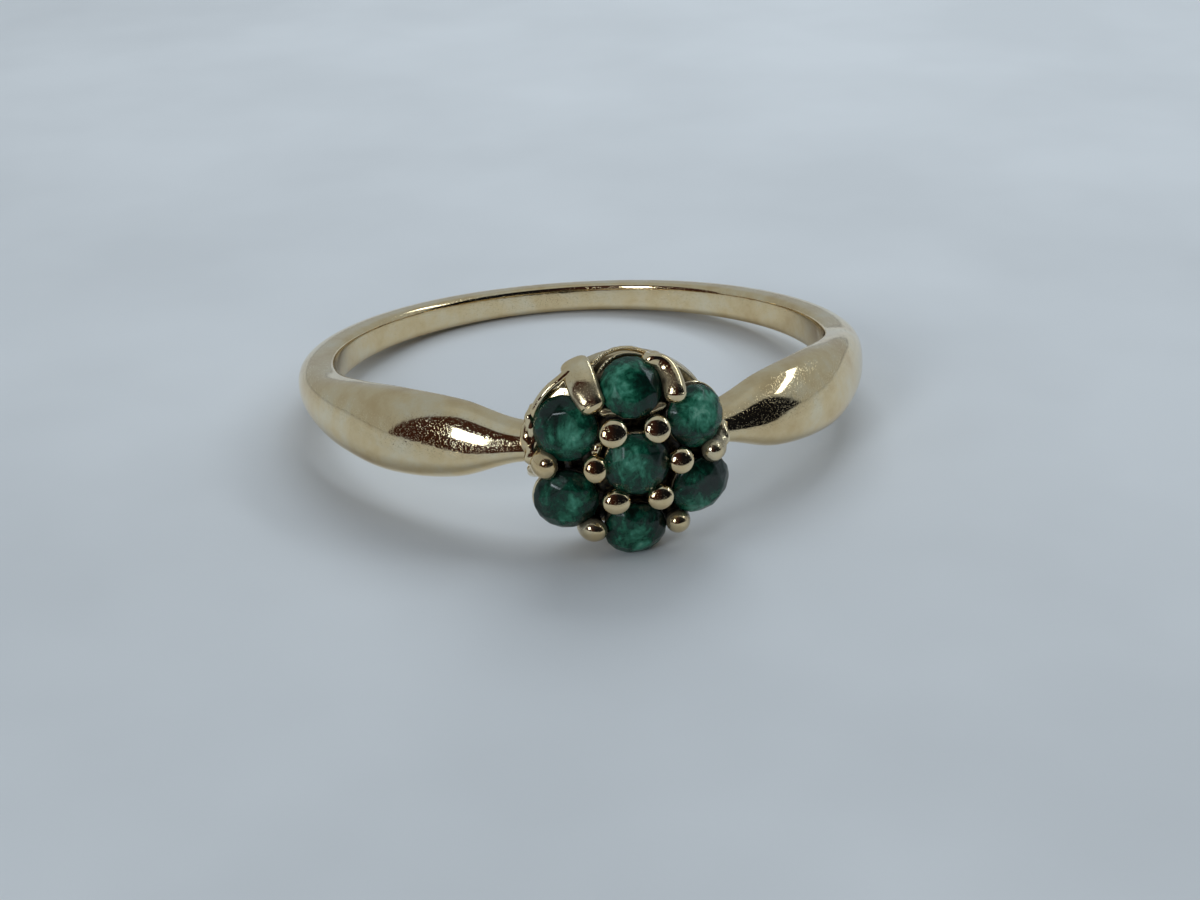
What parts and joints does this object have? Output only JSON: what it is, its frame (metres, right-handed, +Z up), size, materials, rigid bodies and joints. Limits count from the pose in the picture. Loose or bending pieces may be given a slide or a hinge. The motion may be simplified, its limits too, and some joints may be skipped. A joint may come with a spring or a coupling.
{
  "type": "cluster ring",
  "caption": "Dress ring with a domed daisy cluster of round green stones in yellow gold claws, on a slim band with leaf-shaped shoulders.",
  "frame": {"origin": "middle of the ring's box, on the surface that it rests on", "axes": "+Y from the head to the back of the band; +Z up, as the ring rests on its side; +X to the right seen from the head"},
  "size_m": [0.0196, 0.0218, 0.0065],
  "materials": {
    "yellow_gold": "worn polished 9 carat yellow gold",
    "emerald": "cut and polished, cloudy inside"
  },
  "bodies": {
    "root": {"gold_mount": "yellow_gold", "centre_stone": "emerald", "petal_stone_1": "emerald", "petal_stone_2": "emerald", "petal_stone_3": "emerald", "petal_stone_4": "emerald", "petal_stone_5": "emerald", "petal_stone_6": "emerald"}
  },
  "joints": []
}
